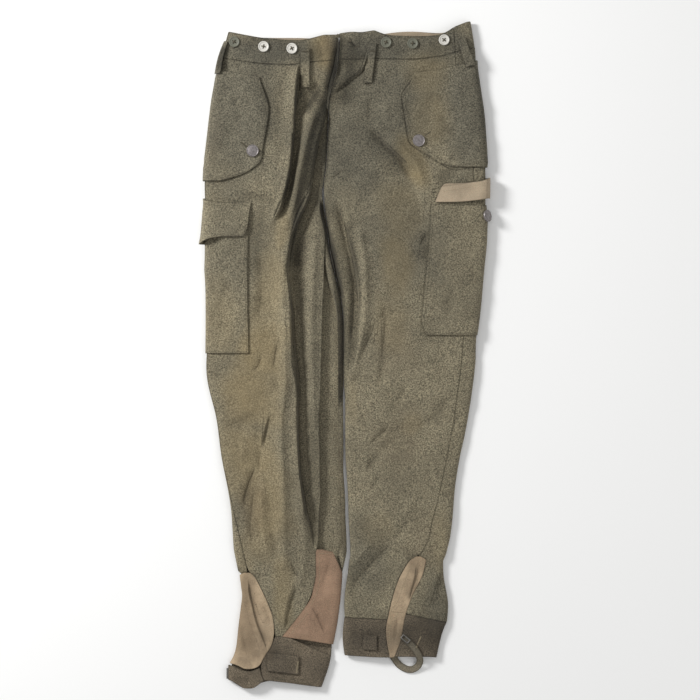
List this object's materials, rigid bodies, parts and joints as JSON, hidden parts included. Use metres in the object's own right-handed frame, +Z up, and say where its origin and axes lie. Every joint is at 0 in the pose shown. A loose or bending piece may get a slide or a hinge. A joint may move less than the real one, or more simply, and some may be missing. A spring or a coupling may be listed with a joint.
{
  "type": "military field trousers",
  "caption": "Thick wool field trousers laid flat, front up, with buttoned hip flaps, thigh pockets, ankle gussets and strapped cuffs.",
  "frame": {"origin": "on the ground, under the middle of the laid-out garment", "axes": "+Y towards the waist, +X towards the wearer's left, +Z up out of the garment's front"},
  "size_m": [0.4683, 1.0677, 0.0269],
  "materials": {
    "wool": "brushed melange wool, matt",
    "wool_band": "wool, darker and matt",
    "cotton_tan": "plain cotton drill, matt",
    "cotton_pink": "faded cotton, matt",
    "lining": "plain cotton lining, matt",
    "button_white": "satin",
    "button_green": "satin",
    "button_metal": "worn, satin",
    "steel": "dull"
  },
  "bodies": {
    "root": {"front_right": "wool", "back_right": "wool", "band_front_right": "wool", "band_back_right": "wool", "front_left": "wool", "back_left": "wool", "band_front_left": "wool", "band_back_left": "wool", "cargo_pocket_right": "wool", "cargo_pocket_left": "wool", "cargo_flap_right": "wool", "cargo_flap_left": "wool", "hip_flap_right": "wool", "hip_flap_left": "wool", "belt_loop_front_right": "wool", "belt_loop_front_left": "wool", "belt_loop_side_left": "wool", "belt_loop_side_right": "wool", "cuff_front_right": "wool_band", "cuff_back_right": "wool_band", "cuff_front_left": "wool_band", "cuff_back_left": "wool_band", "ankle_strap_right": "wool_band", "cuff_tab_right": "wool_band", "keeper_left": "wool_band", "strap_loop_left": "wool_band", "gusset_outer_right": "cotton_tan", "gusset_outer_left": "cotton_tan", "gusset_inner_right": "cotton_pink", "cargo_flap_left_lining": "lining", "band_lining_right": "lining", "band_lining_left": "lining", "button_waist_2": "button_white", "button_waist_3": "button_white", "button_waist_6": "button_white", "button_waist_1": "button_green", "button_waist_4": "button_green", "button_waist_5": "button_green", "button_hip_right": "button_metal", "button_hip_left": "button_metal", "button_cargo_left": "button_metal", "strap_bar_right": "steel", "strap_slide_left": "steel"}
  },
  "joints": []
}
